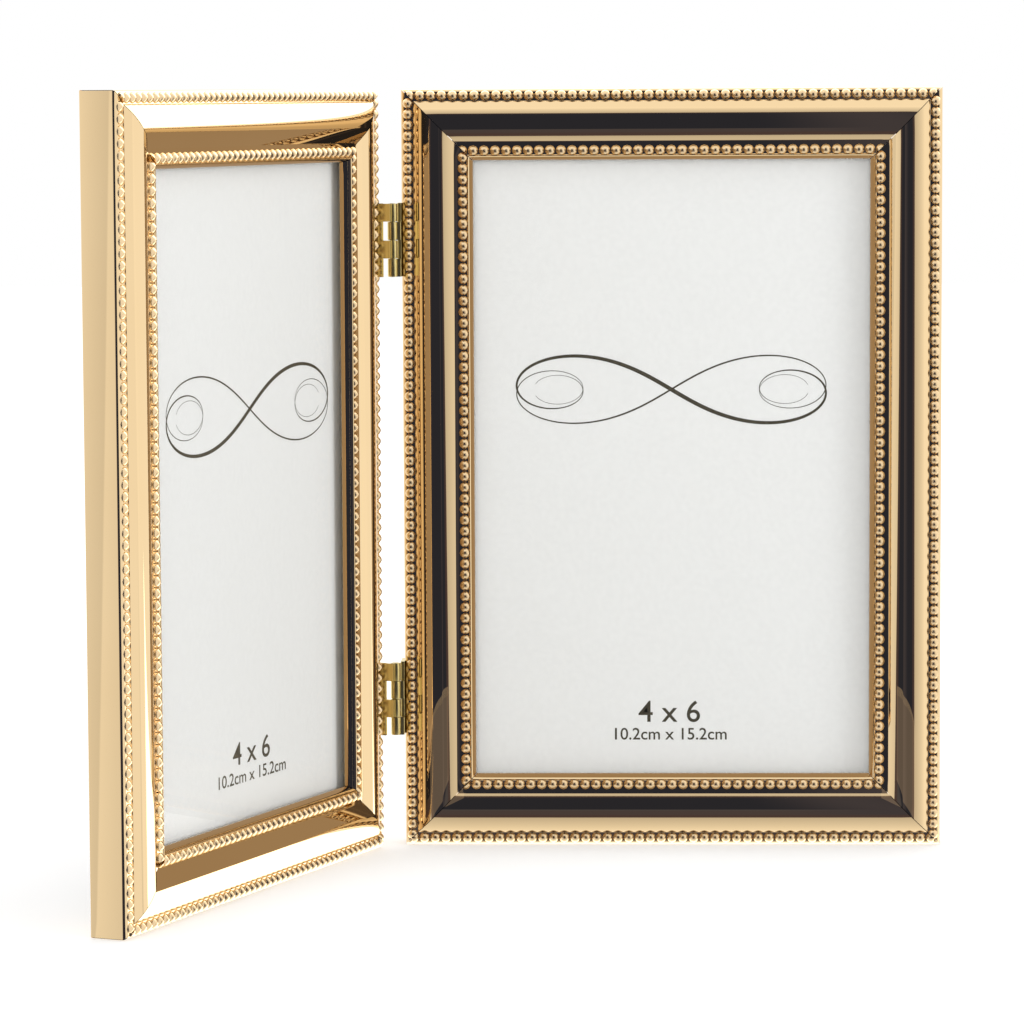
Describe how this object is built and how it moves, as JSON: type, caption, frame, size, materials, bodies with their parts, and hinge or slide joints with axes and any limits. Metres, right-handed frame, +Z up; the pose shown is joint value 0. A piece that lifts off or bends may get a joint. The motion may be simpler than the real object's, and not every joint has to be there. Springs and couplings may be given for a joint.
{
  "type": "double photo frame",
  "caption": "Hinged double picture frame in bead-edged gold-tone metal, standing open like a book, with glass, printed cards and a backing board held by turn buttons.",
  "frame": {"origin": "middle of the flat foot of the right frame, halfway along its bottom rail's outer wall", "axes": "+Z up, the right frame's face looks along -Y, +X from the hinges to the right frame's free side; the left frame stands at an interior angle of 111.9 degrees to it"},
  "size_m": [0.185, 0.1296, 0.1765],
  "materials": {
    "moulding": "polished gold-tone plate",
    "hinge": "satin brass",
    "hinge_pin": "satin brass",
    "rivet": "satin brass",
    "turn_button": "satin brass",
    "corner_key": "plain zinc",
    "glass": "clear",
    "printed_card": "coated paper",
    "filler_card": "grey board",
    "backing_cloth": "black velvet on fibreboard"
  },
  "bodies": {
    "right_frame": {"right_top_rail": "moulding", "right_bottom_rail": "moulding", "right_hinge_stile": "moulding", "right_free_stile": "moulding", "right_corner_keys": "corner_key", "right_glass": "glass", "right_photo_card": "printed_card", "right_filler_card": "filler_card", "right_backing_board": "backing_cloth", "right_turn_button_rivets": "rivet", "right_hinge_rivets": "rivet", "upper_hinge_right_plate": "hinge", "lower_hinge_right_plate": "hinge", "upper_hinge_pin": "hinge_pin", "lower_hinge_pin": "hinge_pin"},
    "left_frame": {"left_top_rail": "moulding", "left_bottom_rail": "moulding", "left_hinge_stile": "moulding", "left_free_stile": "moulding", "left_corner_keys": "corner_key", "left_glass": "glass", "left_photo_card": "printed_card", "left_filler_card": "filler_card", "left_backing_board": "backing_cloth", "left_turn_button_rivets": "rivet", "left_hinge_rivets": "rivet", "upper_hinge_left_plate": "hinge", "lower_hinge_left_plate": "hinge"},
    "right_button_top": {"right_turn_button_top": "turn_button"},
    "right_button_bottom": {"right_turn_button_bottom": "turn_button"},
    "right_button_hinge_side": {"right_turn_button_hinge_side": "turn_button"},
    "right_button_free_side": {"right_turn_button_free_side": "turn_button"},
    "left_button_top": {"left_turn_button_top": "turn_button"},
    "left_button_bottom": {"left_turn_button_bottom": "turn_button"},
    "left_button_hinge_side": {"left_turn_button_hinge_side": "turn_button"},
    "left_button_free_side": {"left_turn_button_free_side": "turn_button"}
  },
  "joints": [
    {"name": "fold", "type": "hinge", "parent": "right_frame", "child": "left_frame", "pos_m": [-0.06445, -0.00743, 0.08825], "axis": [0, 0, 1], "range_deg": [-68.1, 111.9]},
    {"name": "right_button_top_turn", "type": "hinge", "parent": "right_frame", "child": "right_button_top", "pos_m": [0, 0.00438, 0.1708], "axis": [0, 1, 0], "range_deg": [-90, 90]},
    {"name": "right_button_bottom_turn", "type": "hinge", "parent": "right_frame", "child": "right_button_bottom", "pos_m": [0, 0.00438, 0.0057], "axis": [0, 1, 0], "range_deg": [-90, 90]},
    {"name": "right_button_hinge_side_turn", "type": "hinge", "parent": "right_frame", "child": "right_button_hinge_side", "pos_m": [-0.0568, 0.00438, 0.08825], "axis": [0, 1, 0], "range_deg": [-90, 90]},
    {"name": "right_button_free_side_turn", "type": "hinge", "parent": "right_frame", "child": "right_button_free_side", "pos_m": [0.0568, 0.00438, 0.08825], "axis": [0, 1, 0], "range_deg": [-90, 90]},
    {"name": "left_button_top_turn", "type": "hinge", "parent": "left_frame", "child": "left_button_top", "pos_m": [-0.09944, -0.06282, 0.1708], "axis": [-0.9278, 0.373, 0], "range_deg": [-90, 90]},
    {"name": "left_button_bottom_turn", "type": "hinge", "parent": "left_frame", "child": "left_button_bottom", "pos_m": [-0.09944, -0.06282, 0.0057], "axis": [-0.9278, 0.373, 0], "range_deg": [-90, 90]},
    {"name": "left_button_hinge_side_turn", "type": "hinge", "parent": "left_frame", "child": "left_button_hinge_side", "pos_m": [-0.07825, -0.01012, 0.08825], "axis": [-0.9278, 0.373, 0], "range_deg": [-90, 90]},
    {"name": "left_button_free_side_turn", "type": "hinge", "parent": "left_frame", "child": "left_button_free_side", "pos_m": [-0.12062, -0.11552, 0.08825], "axis": [-0.9278, 0.373, 0], "range_deg": [-90, 90]}
  ]
}
